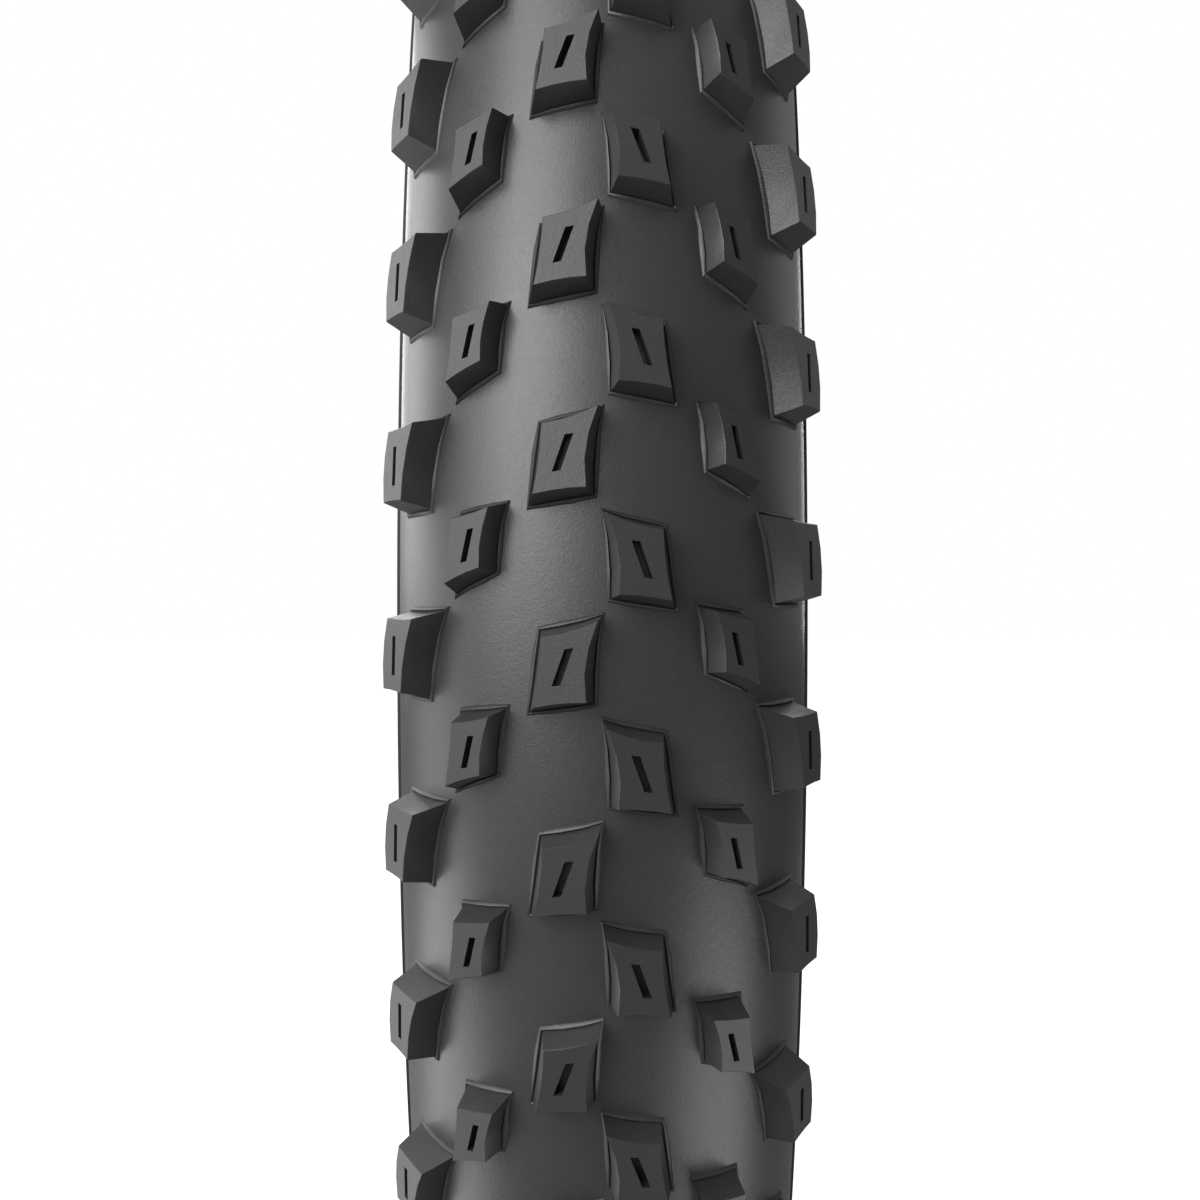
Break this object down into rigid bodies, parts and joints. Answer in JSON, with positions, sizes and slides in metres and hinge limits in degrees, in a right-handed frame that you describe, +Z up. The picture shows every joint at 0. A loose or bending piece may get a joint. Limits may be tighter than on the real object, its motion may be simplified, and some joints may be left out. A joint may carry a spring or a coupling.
{
  "type": "bicycle tire",
  "caption": "Off-road bicycle tire: a round casing with slotted, concave-sided tread blocks in staggered rows, smooth sidewalls and a hooked bead on each side that seats on a rim.",
  "frame": {"origin": "the wheel's centre, on the axle line and on the tire's centre plane", "axes": "+Y along the axle, +Z up, +X forwards; a slot of the -Y centre row lies on +X"},
  "size_m": [0.7492, 0.061, 0.7492],
  "materials": {
    "tread_rubber": "matt moulded rubber",
    "knob_rubber": "matt moulded rubber",
    "sidewall_rubber": "matt rubber with a fine casing weave",
    "bead_rubber": "smooth hard rubber",
    "core_strands": "wound aramid strands",
    "guard_fabric": "rubbered square-woven nylon",
    "casing_fabric": "rubbered parallel nylon cords",
    "liner_rubber": "smooth airtight rubber"
  },
  "bodies": {
    "root": {"tread_base_centre": "tread_rubber", "tread_base_shoulder_left": "tread_rubber", "tread_base_shoulder_right": "tread_rubber", "centre_knobs_left": "knob_rubber", "centre_knobs_right": "knob_rubber", "transition_knobs_left": "knob_rubber", "transition_knobs_right": "knob_rubber", "shoulder_knobs_left": "knob_rubber", "shoulder_knobs_right": "knob_rubber", "sidewall_left": "sidewall_rubber", "sidewall_right": "sidewall_rubber", "chafer_left": "bead_rubber", "chafer_right": "bead_rubber", "bead_filler_left": "bead_rubber", "bead_filler_right": "bead_rubber", "bead_core_left": "core_strands", "bead_core_right": "core_strands", "sidewall_guard_left": "guard_fabric", "sidewall_guard_right": "guard_fabric", "puncture_breaker": "guard_fabric", "casing_ply_outer": "casing_fabric", "casing_ply_inner": "casing_fabric", "inner_liner": "liner_rubber"}
  },
  "joints": []
}
